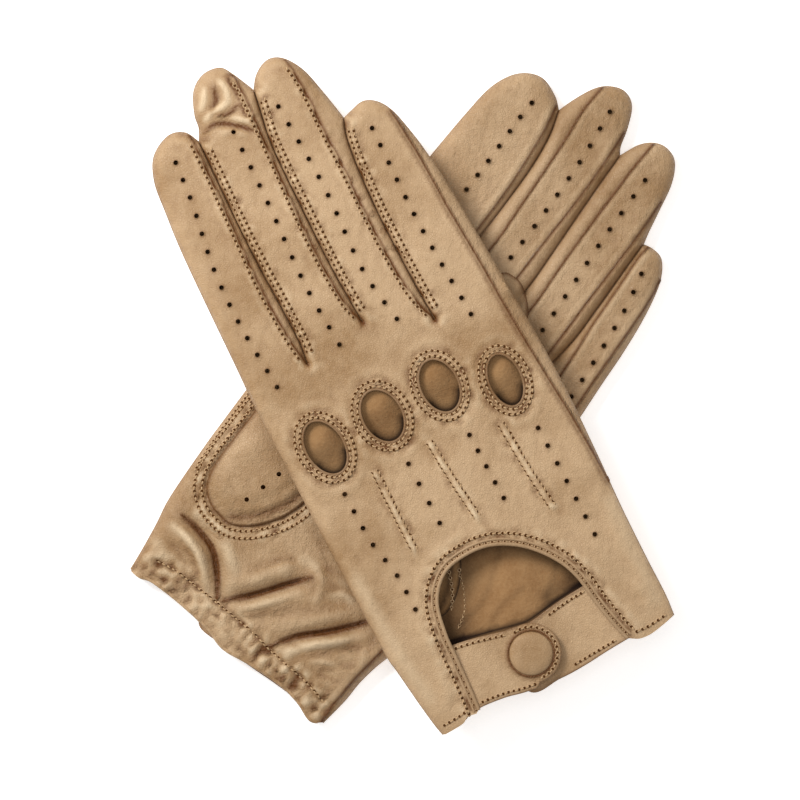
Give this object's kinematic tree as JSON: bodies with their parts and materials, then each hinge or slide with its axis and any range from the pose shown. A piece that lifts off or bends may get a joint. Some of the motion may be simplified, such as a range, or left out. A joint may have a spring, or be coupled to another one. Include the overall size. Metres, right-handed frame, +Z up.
{
  "type": "pair of leather driving gloves",
  "caption": "Pair of perforated leather driving gloves lying crossed, one palm up, with knuckle holes, wrist vents and snap tabs that peel open.",
  "frame": {"origin": "centre of the footprint of the crossed pair, on the surface that it lies on", "axes": "+Z up; +Y towards the fingertips, midway between the two gloves' directions; +X to the right of that"},
  "size_m": [0.1938, 0.2358, 0.0227],
  "materials": {
    "back_leather": "satin",
    "palm_leather": "satin",
    "binding_leather": "satin",
    "cap_leather": "satin",
    "elastic": "matte",
    "snap_metal": "polished"
  },
  "bodies": {
    "left_glove": {"left_hand_back": "back_leather", "left_hand_palm": "palm_leather", "left_thumb": "palm_leather", "left_fourchette_index_middle": "binding_leather", "left_fourchette_middle_ring": "binding_leather", "left_fourchette_ring_little": "binding_leather", "left_knuckle_bindings": "binding_leather", "left_vent_binding": "binding_leather", "left_back_hem": "back_leather", "left_palm_hem": "palm_leather", "left_wrist_elastic": "elastic", "left_strap_base": "back_leather", "left_snap_post": "snap_metal", "left_snap_stud": "snap_metal"},
    "left_tab": {"left_snap_tab": "back_leather", "left_snap_socket": "snap_metal", "left_snap_cap": "cap_leather"},
    "left_index_fingertip": {"left_index_tip_back": "back_leather", "left_index_tip_palm": "palm_leather", "left_index_tip_fourchettes": "binding_leather"},
    "left_middle_fingertip": {"left_middle_tip_back": "back_leather", "left_middle_tip_palm": "palm_leather", "left_middle_tip_fourchettes": "binding_leather"},
    "left_ring_fingertip": {"left_ring_tip_back": "back_leather", "left_ring_tip_palm": "palm_leather", "left_ring_tip_fourchettes": "binding_leather"},
    "left_little_fingertip": {"left_little_tip_back": "back_leather", "left_little_tip_palm": "palm_leather", "left_little_tip_fourchettes": "binding_leather"},
    "right_glove": {"right_hand_back": "back_leather", "right_hand_palm": "palm_leather", "right_thumb": "palm_leather", "right_fourchette_index_middle": "binding_leather", "right_fourchette_middle_ring": "binding_leather", "right_fourchette_ring_little": "binding_leather", "right_knuckle_bindings": "binding_leather", "right_vent_binding": "binding_leather", "right_back_hem": "back_leather", "right_palm_hem": "palm_leather", "right_wrist_elastic": "elastic", "right_strap_base": "back_leather", "right_snap_post": "snap_metal", "right_snap_stud": "snap_metal"},
    "right_tab": {"right_snap_tab": "back_leather", "right_snap_socket": "snap_metal", "right_snap_cap": "cap_leather"},
    "right_index_fingertip": {"right_index_tip_back": "back_leather", "right_index_tip_palm": "palm_leather", "right_index_tip_fourchettes": "binding_leather"},
    "right_middle_fingertip": {"right_middle_tip_back": "back_leather", "right_middle_tip_palm": "palm_leather", "right_middle_tip_fourchettes": "binding_leather"},
    "right_ring_fingertip": {"right_ring_tip_back": "back_leather", "right_ring_tip_palm": "palm_leather", "right_ring_tip_fourchettes": "binding_leather"},
    "right_little_fingertip": {"right_little_tip_back": "back_leather", "right_little_tip_palm": "palm_leather", "right_little_tip_fourchettes": "binding_leather"}
  },
  "joints": [
    {"name": "right_glove_lift", "type": "slide", "parent": "left_glove", "child": "right_glove", "axis": [0, 0, 1], "range_m": [0, 0.12]},
    {"name": "right_index_fold", "type": "hinge", "parent": "right_glove", "child": "right_index_fingertip", "pos_m": [-0.06369, 0.04825, 0.0227], "axis": [0.8846, 0.4664, 0], "range_deg": [0, 45]},
    {"name": "right_middle_fold", "type": "hinge", "parent": "right_glove", "child": "right_middle_fingertip", "pos_m": [-0.03976, 0.05069, 0.0227], "axis": [0.8846, 0.4664, 0], "range_deg": [0, 45]},
    {"name": "right_ring_fold", "type": "hinge", "parent": "right_glove", "child": "right_ring_fingertip", "pos_m": [-0.01644, 0.0562, 0.0227], "axis": [0.8846, 0.4664, 0], "range_deg": [0, 45]},
    {"name": "right_little_fold", "type": "hinge", "parent": "right_glove", "child": "right_little_fingertip", "pos_m": [0.01154, 0.05738, 0.0227], "axis": [0.8846, 0.4664, 0], "range_deg": [0, 45]},
    {"name": "right_tab_peel", "type": "hinge", "parent": "right_glove", "child": "right_tab", "pos_m": [0.02491, -0.09835, 0.0227], "axis": [0.4664, -0.8846, 0], "range_deg": [0, 150]},
    {"name": "left_index_fold", "type": "hinge", "parent": "left_glove", "child": "left_index_fingertip", "pos_m": [0.02254, 0.07845, 0.008], "axis": [0.7826, -0.6225, 0], "range_deg": [0, 75]},
    {"name": "left_middle_fold", "type": "hinge", "parent": "left_glove", "child": "left_middle_fingertip", "pos_m": [0.03439, 0.05752, 0.008], "axis": [0.7826, -0.6225, 0], "range_deg": [0, 75]},
    {"name": "left_ring_fold", "type": "hinge", "parent": "left_glove", "child": "left_ring_fingertip", "pos_m": [0.04881, 0.03839, 0.008], "axis": [0.7826, -0.6225, 0], "range_deg": [0, 75]},
    {"name": "left_little_fold", "type": "hinge", "parent": "left_glove", "child": "left_little_fingertip", "pos_m": [0.06114, 0.01324, 0.008], "axis": [0.7826, -0.6225, 0], "range_deg": [0, 75]},
    {"name": "left_tab_peel", "type": "hinge", "parent": "left_glove", "child": "left_tab", "pos_m": [-0.07609, -0.0616, 0], "axis": [0.6225, 0.7826, 0], "range_deg": [0, 150]}
  ]
}
